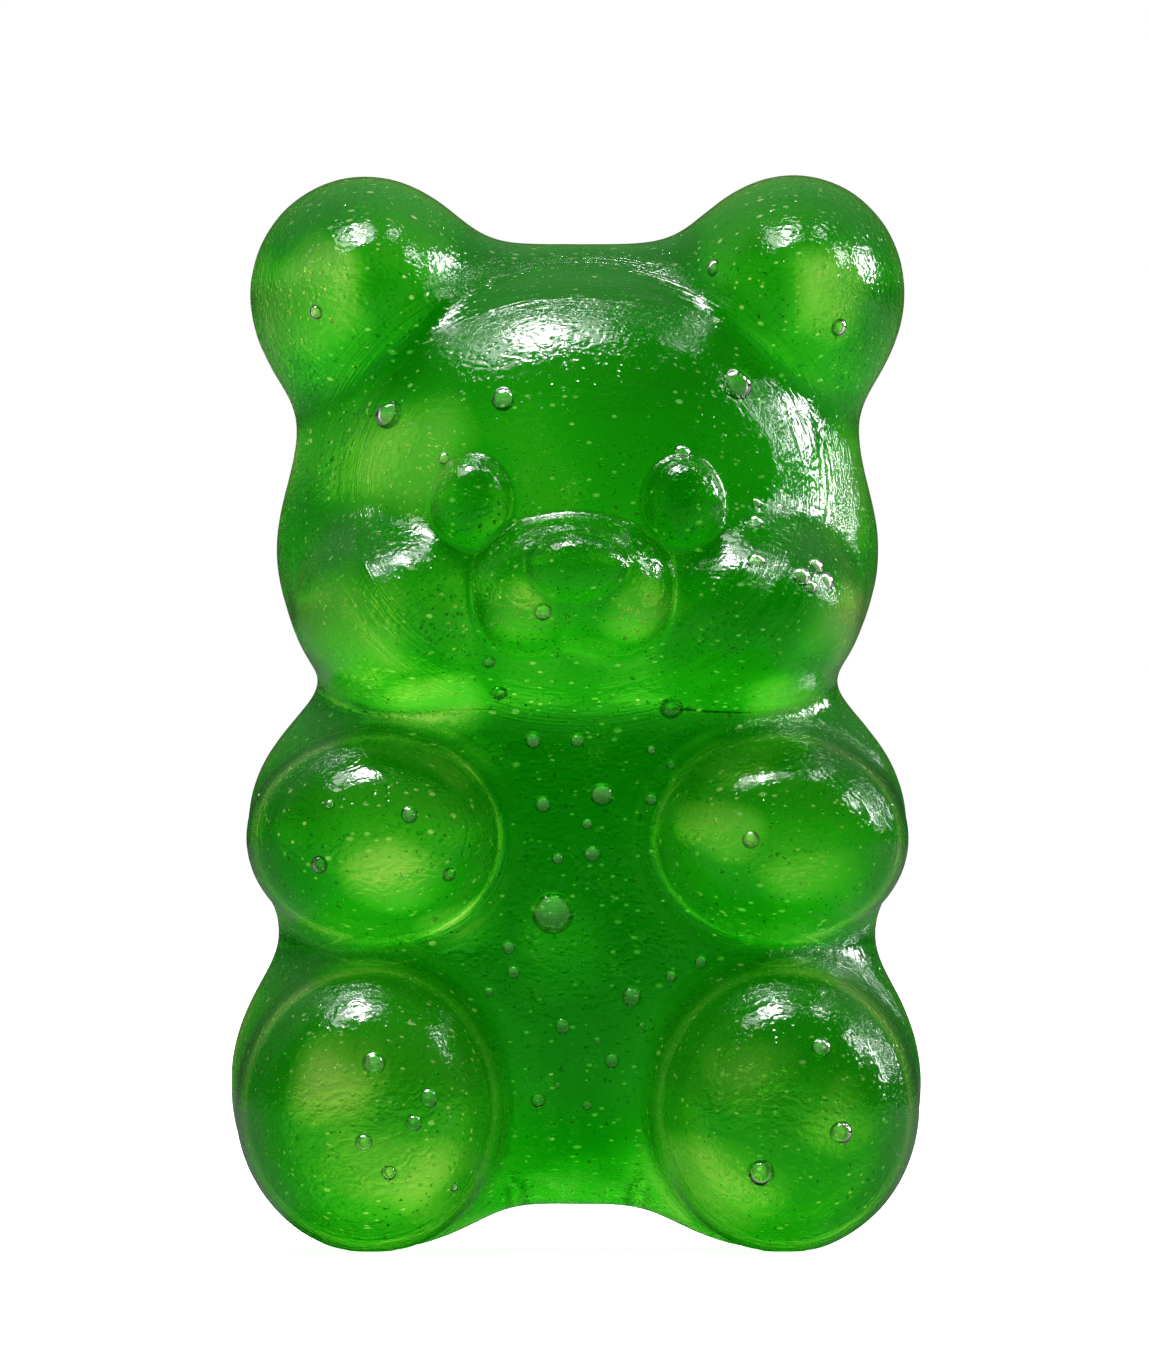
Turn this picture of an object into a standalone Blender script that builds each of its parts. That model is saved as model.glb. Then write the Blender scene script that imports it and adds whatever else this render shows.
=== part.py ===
"""Gummy bear, a soft jelly sweet cast lying on its back in an open mould.

The back is flat and the front is domed.  Wide lumps near the back melt softly into one another
and give the outline.  Rounder lumps in front of them give the cheeks, arms, legs, muzzle, nose
and eyes, and each meets the body behind it in a crease.  The bear stands facing -Y, on a small
flat under each foot.
"""

from dataclasses import dataclass

import bmesh
import bpy
import numpy as np
from mathutils import Matrix, Vector

# ---- Driving sizes, in millimetres ----

MM = 0.001

# How far each feature stands forward of the flat back.
BODY_SIDES_FRONT = 5.6
EAR_FRONT = 6.4
BELLY_FRONT = 6.8
HEAD_FRONT = 7.9
CHIN_FRONT = 8.0
EYE_FRONT = 8.4
CHEEK_FRONT = 8.6
ARM_FRONT = 8.6
MUZZLE_FRONT = 9.3
LEG_FRONT = 9.6
NOSE_FRONT = 9.75

# Where the features sit: half the distance between a pair, and the height of the middle.
EAR_SPREAD = 4.38
EAR_UP = 19.54
HEAD_UP = 15.70
EYE_SPREAD = 2.12
EYE_UP = 15.20
NOSE_UP = 13.90
MUZZLE_UP = 13.80
CHEEK_SPREAD = 3.35
CHEEK_UP = 13.10
ARM_SPREAD = 4.05
ARM_UP = 8.40
BELLY_UP = 7.10
LEG_SPREAD = 4.20
LEG_UP = 2.97

# Widths of the joins, all measured across the valley.
HEAD_CREASE = 0.9
ARM_CREASE = 0.35
LEG_CREASE = 0.45
FACE_CREASE = 0.2           # round the muzzle and the eyes
NOSE_CREASE = 0.10
BACK_EDGE = 0.9             # softness of the edge round the flat back
SOLE_EDGE = 0.12            # softness of the edge round the flat under each foot

# ---- Mesh ----

BALL_RINGS = 20
VOXEL = 0.19
SMOOTHING = 0.5
SETTLING_PASSES = 5
TRIANGLES = 9500
FLAT_TOLERANCE = 0.01       # points this close to a flat are put exactly on it

FACE_HALF_WIDTH = 3.3       # region of the face that is given a finer mesh
FACE_LOW = 12.0
FACE_HIGH = 16.5
FACE_FORWARD = 6.9

# ---- Colour ----

JELLY_GREEN = (0.02, 0.36, 0.015, 1.0)
JELLY_ROUGHNESS = 0.16


@dataclass
class Lump:
    """A rounded lump.  Shape 2 is an ellipse; a larger number is squarer."""

    across: float                       # middle, to the right of the centre line
    up: float                           # middle, above the floor
    half_width: float
    half_height: float
    widest: float = 2.4                 # how far forward of the flat back it is widest
    front: float = BODY_SIDES_FRONT     # how far forward it reaches
    melt: float = 0.0                   # width of its join to the others in its group
    outline: float = 2.0                # shape seen from the front
    profile: float = 2.2                # shape from the rim to the front

    def centre(self):
        """Middle of the lump: x to the right, y to the back, z up, with the flat back at y = 0."""
        return Vector((self.across, -self.widest, self.up))

    def half(self):
        """Half the size of the lump along x, y and z."""
        return Vector((self.half_width, self.front - self.widest, self.half_height))


def pair(spread, up, half_width, half_height, lean=0.0, **more):
    """Two matching lumps side by side, both moved to the right by the lean."""
    return [Lump(lean + side * spread, up, half_width, half_height, **more) for side in (-1, 1)]


def outline_lumps():
    """The whole outline in one thickness, with the left and right sides a little uneven."""
    return [
        Lump(0.0, HEAD_UP, 5.56, 4.87, outline=2.15),
        Lump(-EAR_SPREAD + 0.02, EAR_UP - 0.02, 2.34, 2.40, melt=2.5),
        Lump(EAR_SPREAD + 0.07, EAR_UP + 0.06, 2.23, 2.36, melt=2.8),
        Lump(0.0, BELLY_UP + 0.1, 6.00, 6.32, melt=1.4, outline=2.6),
        *pair(CHEEK_SPREAD + 0.39, CHEEK_UP + 1.05, 2.36, 2.40, melt=2.0),
        *pair(ARM_SPREAD + 0.09, ARM_UP + 0.40, 2.55, 2.34, melt=1.65),
        *pair(LEG_SPREAD - 0.42, LEG_UP + 0.45, 3.30, 3.41, lean=-0.03, melt=1.2),
    ]


def ear_lumps():
    """The domed fronts of the ears."""
    return pair(EAR_SPREAD, EAR_UP, 2.02, 2.10, lean=0.04, widest=3.0, front=EAR_FRONT)


def belly_lumps():
    """The gently domed belly."""
    dome = {"widest": 2.9, "front": BELLY_FRONT, "outline": 2.6, "profile": 3.4}
    return [Lump(0.0, BELLY_UP - 0.1, 5.20, 5.60, **dome)]


def head_lumps():
    """The dome of the head with the chin and both cheeks."""
    chin = {"widest": 4.2, "front": CHIN_FRONT, "melt": 1.2, "outline": 2.4}
    cheek = {"widest": 4.4, "front": CHEEK_FRONT, "melt": 0.9}
    return [
        Lump(0.0, HEAD_UP - 0.25, 5.30, 4.60, widest=3.2, front=HEAD_FRONT, outline=2.15),
        Lump(0.0, CHEEK_UP + 0.25, 5.30, 2.75, **chin),
        *pair(CHEEK_SPREAD, CHEEK_UP, 2.45, 2.05, **cheek),
    ]


def arm_lumps():
    """Both arms, held forward."""
    return pair(ARM_SPREAD, ARM_UP, 2.72, 2.25, widest=4.4, front=ARM_FRONT, profile=2.7)


def leg_lumps():
    """Both legs, held forward, with their undersides just through the floor."""
    return pair(LEG_SPREAD, LEG_UP, 2.78, 3.03, widest=4.7, front=LEG_FRONT, profile=2.9)


def muzzle_lumps():
    """The muzzle, with two lobes below that leave a cleft between them."""
    lobe = {"widest": 7.2, "front": MUZZLE_FRONT - 0.1, "melt": 0.7}
    return [
        Lump(-0.1, MUZZLE_UP, 2.02, 1.25, widest=7.2, front=MUZZLE_FRONT),
        *pair(0.85, MUZZLE_UP - 0.55, 1.30, 1.20, lean=-0.1, **lobe),
    ]


def nose_lumps():
    """The nose, high on the muzzle."""
    return [Lump(-0.03, NOSE_UP, 1.06, 0.72, widest=8.95, front=NOSE_FRONT)]


def eye_lumps():
    """Both eyes."""
    return pair(EYE_SPREAD, EYE_UP, 0.86, 0.97, widest=7.5, front=EYE_FRONT)


# Each group of lumps melts together first, then joins the groups before it with its own crease.
GROUPS = [
    (outline_lumps(), 0.0),
    (ear_lumps(), 0.8),
    (belly_lumps(), 1.0),
    (head_lumps(), HEAD_CREASE),
    (arm_lumps(), ARM_CREASE),
    (leg_lumps(), LEG_CREASE),
    (muzzle_lumps(), FACE_CREASE),
    (nose_lumps(), NOSE_CREASE),
    (eye_lumps(), FACE_CREASE),
]


def distance_to_lump(points, lump):
    """Signed distance from each point to the skin of a lump, true at the skin."""
    tiny = 1e-9
    half_width, half_depth, half_height = lump.half()
    offset = np.abs(points - np.array(lump.centre()))
    across = offset[:, 0] / half_width + tiny
    along = offset[:, 1] / half_depth + tiny
    up = offset[:, 2] / half_height + tiny
    rim = (across ** lump.outline + up ** lump.outline) ** (1 / lump.outline)
    size = (rim ** lump.profile + along ** lump.profile) ** (1 / lump.profile)
    rim_share = (rim / size) ** (lump.profile - 1)
    slope_across = rim_share * (across / rim) ** (lump.outline - 1) / half_width
    slope_up = rim_share * (up / rim) ** (lump.outline - 1) / half_height
    slope_along = (along / size) ** (lump.profile - 1) / half_depth
    slope = np.sqrt(slope_across ** 2 + slope_up ** 2 + slope_along ** 2)
    return (size - 1) / slope


def melt_together(first, second, width):
    """Union of two solids given by distance, with a soft join of the given width."""
    if width == 0:
        return np.minimum(first, second)
    overlap = np.maximum(width - np.abs(first - second), 0) / width
    return np.minimum(first, second) - overlap ** 3 * width / 6


def distance_to_group(points, lumps):
    """Signed distance from each point to the skin of one group of lumps."""
    distance = distance_to_lump(points, lumps[0])
    for lump in lumps[1:]:
        distance = melt_together(distance, distance_to_lump(points, lump), lump.melt)
    return distance


def distance_to_bear(points):
    """Signed distance from each point to the skin of the bear, true at the skin."""
    distance = np.full(len(points), np.inf)
    for lumps, crease in GROUPS:
        distance = melt_together(distance, distance_to_group(points, lumps), crease)
    behind_back = points[:, 1]
    distance = -melt_together(-distance, -behind_back, BACK_EDGE)
    below_floor = -points[:, 2]
    return -melt_together(-distance, -below_floor, SOLE_EDGE)


def move_to_skin(points, step=0.002):
    """Slide points along the slope of the distance onto the skin of the bear."""
    distance = distance_to_bear(points)
    ahead = [distance_to_bear(points + step * along) for along in np.eye(3)]
    slope = (np.stack(ahead, axis=1) - distance[:, None]) / step
    steepness = np.maximum((slope ** 2).sum(axis=1), 0.05)
    return points - slope * (distance / steepness)[:, None]


def rough_balls():
    """One mesh holding a ball for every lump, each cut off at the flat back."""
    balls = bmesh.new()
    for lump in [lump for lumps, crease in GROUPS for lump in lumps]:
        placed = Matrix.LocRotScale(lump.centre(), None, lump.half())
        bmesh.ops.create_uvsphere(
            balls, u_segments=2 * BALL_RINGS, v_segments=BALL_RINGS, radius=1.0, matrix=placed
        )
    cut = bmesh.ops.bisect_plane(
        balls,
        geom=balls.verts[:] + balls.edges[:] + balls.faces[:],
        plane_co=(0, 0, 0),
        plane_no=(0, 1, 0),
        clear_outer=True,
    )
    rims = [item for item in cut["geom_cut"] if isinstance(item, bmesh.types.BMEdge)]
    bmesh.ops.holes_fill(balls, edges=rims)
    mesh = bpy.data.meshes.new("balls")
    balls.to_mesh(mesh)
    balls.free()
    return mesh


def with_modifier(mesh, kind, **settings):
    """The mesh after one modifier has been applied to it."""
    holder = bpy.data.objects.new("holder", mesh)
    bpy.context.scene.collection.objects.link(holder)
    modifier = holder.modifiers.new(kind.title(), kind)
    for name, value in settings.items():
        setattr(modifier, name, value)
    graph = bpy.context.evaluated_depsgraph_get()
    result = bpy.data.meshes.new_from_object(holder.evaluated_get(graph))
    bpy.data.objects.remove(holder)
    bpy.data.meshes.remove(mesh)
    return result


def settle(mesh, passes):
    """Even out the mesh and move every vertex onto the skin of the bear."""
    skin = bmesh.new()
    skin.from_mesh(mesh)
    for _ in range(passes):
        bmesh.ops.smooth_vert(
            skin,
            verts=skin.verts,
            factor=SMOOTHING,
            use_axis_x=True,
            use_axis_y=True,
            use_axis_z=True,
        )
        points = np.array([vertex.co for vertex in skin.verts])
        points = move_to_skin(move_to_skin(points))
        for vertex, point in zip(skin.verts, points):
            vertex.co = point
    skin.to_mesh(mesh)
    skin.free()


def on_face(point):
    """Whether a point lies on the face, where the mesh is finer."""
    within_height = FACE_LOW < point.z < FACE_HIGH
    return point.y < -FACE_FORWARD and within_height and abs(point.x) < FACE_HALF_WIDTH


def refine_face(mesh):
    """Halve the size of the mesh over the muzzle, nose and eyes."""
    skin = bmesh.new()
    skin.from_mesh(mesh)
    edges = [edge for edge in skin.edges if all(on_face(vertex.co) for vertex in edge.verts)]
    bmesh.ops.subdivide_edges(skin, edges=edges, cuts=1, use_grid_fill=True)
    bmesh.ops.triangulate(skin, faces=skin.faces)
    skin.to_mesh(mesh)
    skin.free()


def true_up(mesh):
    """Put the soles exactly on z = 0 and the back in one plane, centred over the origin."""
    points = np.array([vertex.co for vertex in mesh.vertices])
    lowest = points[:, 2].min()
    hindmost = points[:, 1].max()
    points[points[:, 2] < lowest + FLAT_TOLERANCE, 2] = lowest
    points[points[:, 1] > hindmost - FLAT_TOLERANCE, 1] = hindmost
    middle = (points.min(axis=0) + points.max(axis=0)) / 2
    points -= (middle[0], middle[1], lowest)
    for vertex, point in zip(mesh.vertices, points):
        vertex.co = point


def jelly():
    """Glossy green jelly."""
    material = bpy.data.materials.new("green_jelly")
    material.use_nodes = True
    surface = material.node_tree.nodes["Principled BSDF"]
    surface.inputs["Base Color"].default_value = JELLY_GREEN
    surface.inputs["Roughness"].default_value = JELLY_ROUGHNESS
    surface.inputs["Metallic"].default_value = 0.0
    return material


def build_bear():
    """The finished bear, in metres, in a collection of its own."""
    mesh = with_modifier(rough_balls(), "REMESH", mode="VOXEL", voxel_size=VOXEL)
    settle(mesh, SETTLING_PASSES)
    refine_face(mesh)
    settle(mesh, 1)
    share = TRIANGLES / len(mesh.polygons)
    mesh = with_modifier(mesh, "DECIMATE", ratio=share, use_collapse_triangulate=True)
    true_up(mesh)
    mesh.transform(Matrix.Scale(MM, 4))
    mesh.shade_smooth()
    mesh.name = "bear"
    mesh.materials.clear()
    mesh.materials.append(jelly())
    bear = bpy.data.objects.new("bear", mesh)
    collection = bpy.data.collections.new("gummy_bear")
    bpy.context.scene.collection.children.link(collection)
    collection.objects.link(bear)


def clear_scene():
    """Start from an empty scene."""
    for item in list(bpy.data.objects):
        bpy.data.objects.remove(item)


if __name__ == "__main__":
    clear_scene()
    build_bear()
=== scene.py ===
"""Green gummy bear with its air bubbles and sugar flecks, standing in a plain bright studio.

Laid out as an add-on and run as a script.  Lumps, bubbles and glows are set in millimetres: x to
the right, y to the back and z up.  The lumps are the same as the part's, with its flat back at
y = 0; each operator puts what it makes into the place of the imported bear, in metres.
"""

import math
from dataclasses import dataclass

import bmesh
import bpy
import numpy as np
from bpy.props import FloatProperty, FloatVectorProperty, IntProperty, PointerProperty
from mathutils import Matrix, Vector, noise


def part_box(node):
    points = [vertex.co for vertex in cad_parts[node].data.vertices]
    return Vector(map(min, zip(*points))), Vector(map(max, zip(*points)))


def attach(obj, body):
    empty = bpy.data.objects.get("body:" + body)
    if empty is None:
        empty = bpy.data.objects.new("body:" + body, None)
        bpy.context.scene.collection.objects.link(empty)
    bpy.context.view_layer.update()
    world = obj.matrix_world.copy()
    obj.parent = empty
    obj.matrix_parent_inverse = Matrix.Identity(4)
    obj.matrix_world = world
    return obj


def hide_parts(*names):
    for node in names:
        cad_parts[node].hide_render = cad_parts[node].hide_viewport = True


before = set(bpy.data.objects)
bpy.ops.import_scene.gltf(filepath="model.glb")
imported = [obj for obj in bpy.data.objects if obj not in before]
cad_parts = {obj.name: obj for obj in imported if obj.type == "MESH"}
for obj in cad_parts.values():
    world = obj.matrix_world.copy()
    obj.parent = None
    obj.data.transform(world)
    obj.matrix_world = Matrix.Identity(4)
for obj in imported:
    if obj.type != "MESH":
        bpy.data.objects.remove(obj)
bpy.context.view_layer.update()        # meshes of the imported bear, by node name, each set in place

bl_info = {
    "name": "Gummy Bear",
    "version": (1, 0, 0),
    "blender": (4, 5, 0),
    "location": "3D View > Sidebar > Gummy Bear",
    "description": "A green gummy bear with air bubbles and sugar flecks, and a studio for it",
    "category": "Object",
}

MM = 0.001
NODE = "bear"
BEAR_LOW, BEAR_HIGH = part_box(NODE)

# ---- Shape of the bear, in millimetres ----

BODY_SIDES_FRONT = 5.6
EAR_FRONT = 6.4
BELLY_FRONT = 6.8
HEAD_FRONT = 7.9
CHIN_FRONT = 8.0
EYE_FRONT = 8.4
CHEEK_FRONT = 8.6
ARM_FRONT = 8.6
MUZZLE_FRONT = 9.3
LEG_FRONT = 9.6
NOSE_FRONT = 9.75

EAR_SPREAD = 4.38
EAR_UP = 19.54
HEAD_UP = 15.70
EYE_SPREAD = 2.12
EYE_UP = 15.20
NOSE_UP = 13.90
MUZZLE_UP = 13.80
CHEEK_SPREAD = 3.35
CHEEK_UP = 13.10
ARM_SPREAD = 4.05
ARM_UP = 8.40
BELLY_UP = 7.10
LEG_SPREAD = 4.20
LEG_UP = 2.97

HEAD_CREASE = 0.9
ARM_CREASE = 0.35
LEG_CREASE = 0.45
FACE_CREASE = 0.2           # round the muzzle and the eyes
NOSE_CREASE = 0.10
BACK_EDGE = 0.9             # softness of the edge round the flat back
SOLE_EDGE = 0.12            # softness of the edge round the flat under each foot

# ---- Mesh, in millimetres ----

BALL_RINGS = 20
VOXEL = 0.23
SMOOTHING = 0.5
SETTLING_PASSES = 4

FACE_HALF_WIDTH = 3.3       # region of the face that is given a finer mesh
FACE_LOW = 12.0
FACE_HIGH = 16.5
FACE_FORWARD = 6.9

# Unevenness of the skin: size across, depth, and stretch along x.
DENTS = (1.8, 0.012, 1.0)
RIPPLES = (0.55, 0.004, 1.6)
GRAIN = (0.28, 0.003, 1.8)

SOLE_HEIGHT = 0.02          # below this the skin stays smooth, where the feet stand
LEAST_STEEPNESS = 0.05      # keeps a point from sliding too far where the distance is nearly level

# ---- Bubbles, in millimetres: x, z and radius; all stand a little out of the front skin ----

EAR_BUBBLES = [(-5.3, 19.1, 0.15), (2.8, 20.0, 0.18), (5.3, 18.8, 0.19)]
HEAD_BUBBLES = [
    (-3.8, 17.0, 0.32), (-1.5, 17.3, 0.26), (3.2, 17.6, 0.35), (-2.7, 16.1, 0.13),
    (2.1, 16.2, 0.20), (3.6, 14.8, 0.16), (3.6, 15.2, 0.12), (3.6, 14.0, 0.20),
    (4.5, 13.7, 0.22), (4.8, 13.9, 0.18), (5.0, 13.6, 0.20), (4.7, 13.5, 0.15),
    (-0.7, 13.0, 0.19), (-1.8, 12.0, 0.15), (-1.6, 11.4, 0.19), (1.9, 11.1, 0.26),
]
BELLY_BUBBLES = [
    (-0.9, 10.4, 0.18), (0.0, 10.4, 0.15), (1.5, 10.2, 0.10), (1.9, 9.9, 0.10),
    (-0.7, 9.1, 0.18), (0.5, 9.3, 0.25), (1.5, 9.2, 0.13), (0.2, 8.7, 0.12), (0.3, 8.1, 0.18),
    (-0.4, 8.0, 0.12), (-0.5, 6.9, 0.45), (-1.4, 6.2, 0.15), (-1.3, 5.7, 0.14),
    (-1.8, 5.3, 0.12), (1.1, 5.2, 0.22), (1.9, 5.6, 0.13), (2.5, 5.9, 0.14),
    (-0.3, 4.6, 0.17), (0.4, 4.3, 0.08), (1.3, 4.6, 0.08), (0.7, 3.9, 0.17),
    (-0.4, 3.4, 0.08), (-0.8, 3.1, 0.17), (0.2, 3.0, 0.12),
]
ARM_BUBBLES = [
    (-3.4, 8.9, 0.18), (-5.2, 7.9, 0.18), (-2.6, 7.7, 0.16), (-5.0, 9.1, 0.10), (3.5, 8.4, 0.18),
]
LEG_BUBBLES = [
    (-4.1, 3.9, 0.25), (-3.0, 3.2, 0.20), (-3.3, 2.7, 0.18), (-4.3, 2.3, 0.18),
    (-3.8, 1.7, 0.17), (-2.5, 1.4, 0.10), (4.9, 4.2, 0.20), (5.3, 2.5, 0.24), (3.7, 1.7, 0.29),
]

BUBBLE_SEED = 7
BUBBLE_STRETCH = 0.06       # greatest share by which a bubble is longer or shorter than round
BUBBLE_COLOUR = (0.95, 1.0, 0.75, 1.0)
BUBBLE_IOR = 1.32
BUBBLE_DIMPLES = 0.01       # height of the dimples in a bubble's wall, in millimetres

# ---- Flecks, as shares of their usual half length ----

FLECK_SPREAD = (-0.1, 0.35)             # mean and spread of the logarithm of the sizes
FLECK_THICKNESS = (0.35, 0.7)
FLECK_BEND = (-0.6, 0.6)
FLECK_SHALLOWNESS = 1.5                 # above 1, more flecks lie near the skin

# ---- Painted light and painted shade in the jelly's colour: painted glows where light would gather, painted shade where it wouldn't ----
# Each has x, z, half width and half height in millimetres, and its strength.

SPOT_HALF_DEPTH = 14.0      # they run almost straight through the bear
SPOT_CORE = 0.25            # share of a spot that has its full strength
WOBBLE = 1.6                # how far their edges wander, in millimetres

# Painted glows: patches of painted light, lighter and yellower, in the jelly's colour.
PAINTED_GLOWS = [
    (-4.4, 19.5, 3.2, 3.2, 0.32),       # ears
    (4.4, 19.5, 3.2, 3.2, 0.32),
    (-5.3, 19.4, 1.9, 1.9, 1.0),
    (5.1, 19.5, 1.9, 1.8, 0.95),
    (0.0, 15.2, 7.5, 6.5, 0.45),        # head
    (-3.3, 16.0, 2.7, 2.3, 0.85),
    (5.5, 15.6, 1.4, 2.6, 0.75),
    (-4.5, 12.8, 2.5, 2.1, 1.0),        # cheeks
    (5.6, 12.6, 1.7, 1.7, 1.0),
    (-2.9, 11.1, 1.9, 1.0, 1.0),        # chin
    (4.3, 11.1, 1.6, 1.0, 0.95),
    (-0.9, 13.1, 1.4, 1.2, 0.90),       # muzzle
    (1.2, 13.0, 1.4, 1.3, 1.0),
    (0.3, 12.2, 1.2, 0.7, 0.60),
    (-4.0, 8.3, 3.6, 3.0, 0.45),        # arms
    (4.0, 8.3, 3.6, 3.0, 0.45),
    (-3.8, 7.9, 2.0, 1.5, 1.0),
    (-2.5, 6.6, 1.2, 0.9, 0.80),
    (-2.5, 9.9, 1.6, 0.8, 0.60),
    (4.6, 7.7, 2.2, 1.5, 0.80),
    (2.9, 8.7, 1.3, 1.1, 0.90),
    (3.2, 10.0, 1.8, 0.8, 0.60),
    (-0.5, 6.2, 1.3, 1.3, 0.30),        # belly
    (-4.0, 2.9, 4.2, 4.0, 0.45),        # legs
    (4.0, 2.9, 4.2, 4.0, 0.45),
    (-4.8, 3.4, 2.0, 1.8, 1.0),
    (-3.6, 1.7, 3.0, 1.8, 0.90),
    (3.5, 3.7, 1.9, 1.6, 0.80),
    (5.2, 2.8, 1.6, 1.6, 0.80),
    (2.8, 1.5, 2.8, 1.7, 1.0),
    (0.1, 1.0, 2.4, 1.1, 0.70),         # between the legs
]

# Painted shade: darker patches in the jelly's colour at the eyes, nose and forehead, where the ears
# meet the head, beside the muzzle and round the arms.
PAINTED_SHADES = [
    (-2.12, 15.2, 1.3, 1.5, 0.35),      # eyes
    (2.12, 15.2, 1.3, 1.5, 0.40),
    (0.0, 14.0, 1.5, 1.0, 0.15),        # nose
    (1.6, 16.6, 2.6, 2.4, 0.25),        # right of the forehead
    (-3.6, 19.0, 1.4, 1.7, 0.40),       # where the ears meet the head
    (3.5, 19.5, 1.2, 1.5, 0.35),
    (-2.9, 12.8, 0.8, 1.3, 0.20),       # beside the muzzle
    (3.2, 12.9, 1.2, 1.6, 0.20),
    (-5.6, 8.2, 1.2, 1.8, 0.40),        # outside of the left arm
    (3.3, 6.9, 1.4, 1.4, 0.30),         # under the right arm
]

# ---- Skin ----

# Position on the colour ramp of the belly, deep, middle and glow colours, from painted shade to
# painted glow.
RAMP_STOPS = (0.0, 0.4, 0.65, 1.0)
PAINTED_SIDE_LIGHT = 0.75            # painted light: lighter colour where the skin turns away to the side

# Painted rim light and painted rim shade: place of a line, with 1 at the edge of the lobe, its half
# width, its core and its strength.
PAINTED_RIM_LIGHT = (0.91, 0.04, 0.0, 0.35)
PAINTED_RIM_SHADE = (1.0, 0.07, 0.01, 0.35)
RIM_PLACE = 0.92            # where the ridges are highest, with 1 at the edge of the lobe
RIM_REACH = 0.24            # how far the ridges go from there
RIDGES_ACROSS = 13.0        # how close together they lie
OTHER_SIDE = 5.0            # shift that makes the left side unlike the right

# Height of each kind of relief, in millimetres.
RIDGE_HEIGHT = 0.045
RING_HEIGHT = 0.0014
PEEL_HEIGHT = 0.022
PIT_DEPTH = 0.014

# How fine each pattern is, in features to the millimetre.
WOBBLE_SCALE = 0.45
RIDGE_SCALE = 2.2
FLOW_SCALE = 1.3
PEEL_SCALE = 5.0
PIT_SCALE = 6.0
DIMPLE_SCALE = 4.0
FLECK_PATCH_SCALE = 2.0

FLOW_TURNS = 60.0           # more makes more rings, each following a level line of the flow
PIT_REACH = 0.32            # how far from the middle of its cell a pit goes
CELLS_WITHOUT_PIT = 0.45    # share of the cells
CELLS_WITHOUT_SPECK = 0.35
SKIN_STRETCH = (0.75, 1.0, 1.0)         # below 1 along x, so the relief is drawn out sideways
SPECK_STRETCH = (0.6, 1.0, 1.0)

# Specks: their spacing in millimetres, the greatest share of it that they cover, and their colour.
SPECKS = [(0.25, 0.25, "pale_speck"), (0.15, 0.26, "pale_speck"), (0.33, 0.11, "dark_speck")]

# ---- Studio, in metres ----

FLOOR_RADIUS = 1.2
FLOOR_SPECKLE = 0.97        # brightness of the darkest speckle in the floor, as a share
FLOOR_SHINE = 0.95          # what the floor adds of its own to what the camera sees
CAMERA_X = -0.06 * MM
CAMERA_UP = 11.54 * MM
VIEW_PLANE_Y = 2.4 * MM     # where the camera takes in just the view height

# Lights: name, direction, distance, width and height, and share of the power that is set.
MAIN_LIGHTS = [
    ("overhead_soft", (-0.18, -0.08, 0.97), 0.40, (0.14, 0.28), 0.36),
    ("overhead_core", (-0.15, -0.08, 0.97), 0.39, (0.11, 0.06), 0.50),
]
SIDE_LIGHTS = [
    ("right_light", (0.80, 0.04, 0.58), 0.40, (0.04, 0.12), 0.6),
    ("right_back_light", (0.84, 0.42, 0.32), 0.40, (0.045, 0.12), 1.35),
    ("left_light", (-0.40, 0.10, 0.91), 0.40, (0.06, 0.06), 0.12),
    ("right_top_light", (0.42, 0.12, 0.90), 0.40, (0.05, 0.05), 0.2),
]


@dataclass
class Lump:
    """A rounded lump.  Shape 2 is an ellipse; a larger number is squarer."""

    across: float                       # middle, to the right of the centre line
    up: float                           # middle, above the floor
    half_width: float
    half_height: float
    widest: float = 2.4                 # how far forward of the flat back it is widest
    front: float = BODY_SIDES_FRONT     # how far forward it reaches
    melt: float = 0.0                   # width of its join to the others in its group
    outline: float = 2.0                # shape seen from the front
    profile: float = 2.2                # shape from the rim to the front

    def centre(self):
        """Middle of the lump."""
        return Vector((self.across, -self.widest, self.up))

    def half(self):
        """Half the size of the lump along x, y and z."""
        return Vector((self.half_width, self.front - self.widest, self.half_height))


def pair(spread, up, half_width, half_height, lean=0.0, **more):
    """Two matching lumps side by side, both moved to the right by the lean."""
    return [Lump(lean + side * spread, up, half_width, half_height, **more) for side in (-1, 1)]


def outline_lumps():
    """The whole outline in one thickness, with the left and right sides a little uneven."""
    return [
        Lump(0.0, HEAD_UP, 5.56, 4.87, outline=2.15),
        Lump(-EAR_SPREAD + 0.02, EAR_UP - 0.02, 2.34, 2.40, melt=2.5),
        Lump(EAR_SPREAD + 0.07, EAR_UP + 0.06, 2.23, 2.36, melt=2.8),
        Lump(0.0, BELLY_UP + 0.1, 6.00, 6.32, melt=1.4, outline=2.6),
        *pair(CHEEK_SPREAD + 0.39, CHEEK_UP + 1.05, 2.36, 2.40, melt=2.0),
        *pair(ARM_SPREAD + 0.09, ARM_UP + 0.40, 2.55, 2.34, melt=1.65),
        *pair(LEG_SPREAD - 0.42, LEG_UP + 0.45, 3.30, 3.41, lean=-0.03, melt=1.2),
    ]


def ear_lumps():
    """The domed fronts of the ears."""
    return pair(EAR_SPREAD, EAR_UP, 2.02, 2.10, lean=0.04, widest=3.0, front=EAR_FRONT)


def belly_lumps():
    """The gently domed belly."""
    dome = {"widest": 2.9, "front": BELLY_FRONT, "outline": 2.6, "profile": 3.4}
    return [Lump(0.0, BELLY_UP - 0.1, 5.20, 5.60, **dome)]


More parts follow.
